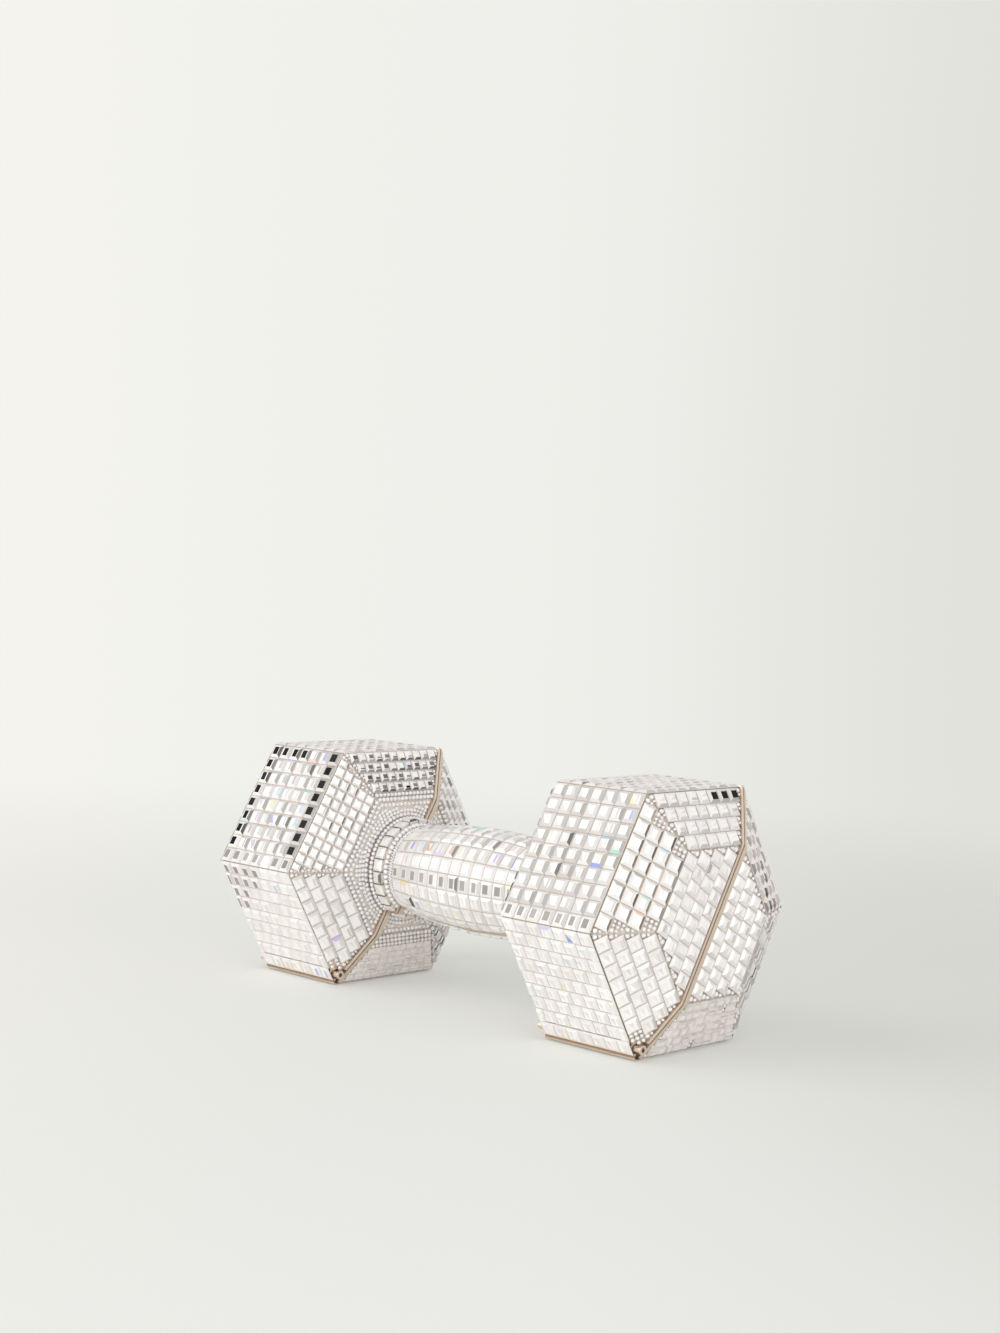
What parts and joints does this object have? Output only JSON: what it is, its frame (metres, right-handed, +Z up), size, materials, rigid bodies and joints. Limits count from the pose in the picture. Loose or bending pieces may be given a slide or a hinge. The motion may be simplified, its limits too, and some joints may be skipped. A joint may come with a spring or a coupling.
{
  "type": "minaudiere",
  "caption": "Hard-case evening bag shaped as a hexagonal dumbbell set with table-cut crystals, opening as a clamshell on an edge hinge with a push-button clasp.",
  "frame": {"origin": "centre of the footprint, on the surface that the bag lies on", "axes": "+X along the bag, +Y from the hinge side to the clasp side, +Z up"},
  "size_m": [0.1688, 0.08, 0.071],
  "materials": {
    "shell_metal": "satin champagne gold plate",
    "rim_metal": "polished champagne gold plate",
    "hinge_metal": "polished champagne gold plate",
    "clasp_steel": "brushed",
    "spring_steel": "drawn wire",
    "crystal": "foil-backed cut crystal",
    "lining_leather": "smooth matt"
  },
  "bodies": {
    "base": {"base_grip_lining": "lining_leather", "base_grip_shell": "shell_metal", "base_grip_stones": "crystal", "base_left_collar_stones": "crystal", "base_left_end_stones": "crystal", "base_left_foot_panel": "crystal", "base_left_head_lining": "lining_leather", "base_left_head_shell": "shell_metal", "base_left_hinge_leaf": "hinge_metal", "base_left_inner_bevel_stones": "crystal", "base_left_outer_bevel_stones": "crystal", "base_left_pave_ring": "crystal", "base_left_side_stones": "crystal", "base_right_collar_stones": "crystal", "base_right_end_stones": "crystal", "base_right_foot_panel": "crystal", "base_right_head_lining": "lining_leather", "base_right_head_shell": "shell_metal", "base_right_hinge_leaf": "hinge_metal", "base_right_inner_bevel_stones": "crystal", "base_right_outer_bevel_stones": "crystal", "base_right_pave_ring": "crystal", "base_right_side_stones": "crystal", "base_rim": "rim_metal", "clasp_bracket": "clasp_steel", "clasp_spring": "spring_steel", "left_hinge_pin": "hinge_metal", "right_hinge_pin": "hinge_metal"},
    "lid": {"clasp_strike": "clasp_steel", "lid_grip_lining": "lining_leather", "lid_grip_shell": "shell_metal", "lid_grip_stones": "crystal", "lid_left_collar_stones": "crystal", "lid_left_end_stones": "crystal", "lid_left_head_lining": "lining_leather", "lid_left_head_shell": "shell_metal", "lid_left_hinge_leaf": "hinge_metal", "lid_left_inner_bevel_stones": "crystal", "lid_left_outer_bevel_stones": "crystal", "lid_left_pave_ring": "crystal", "lid_left_side_stones": "crystal", "lid_right_collar_stones": "crystal", "lid_right_end_stones": "crystal", "lid_right_head_lining": "lining_leather", "lid_right_head_shell": "shell_metal", "lid_right_hinge_leaf": "hinge_metal", "lid_right_inner_bevel_stones": "crystal", "lid_right_outer_bevel_stones": "crystal", "lid_right_pave_ring": "crystal", "lid_right_side_stones": "crystal", "lid_rim": "rim_metal"},
    "button": {"clasp_button": "rim_metal", "latch_bar": "clasp_steel"}
  },
  "joints": [
    {"name": "lid_hinge", "type": "hinge", "parent": "base", "child": "lid", "pos_m": [0, -0.02056, 0.0035], "axis": [1, 0, 0], "range_deg": [0, 60]},
    {"name": "button_press", "type": "slide", "parent": "base", "child": "button", "axis": [0, -0.5, -0.866], "range_m": [0, 0.0012], "stiffness_N_per_m": 800}
  ]
}
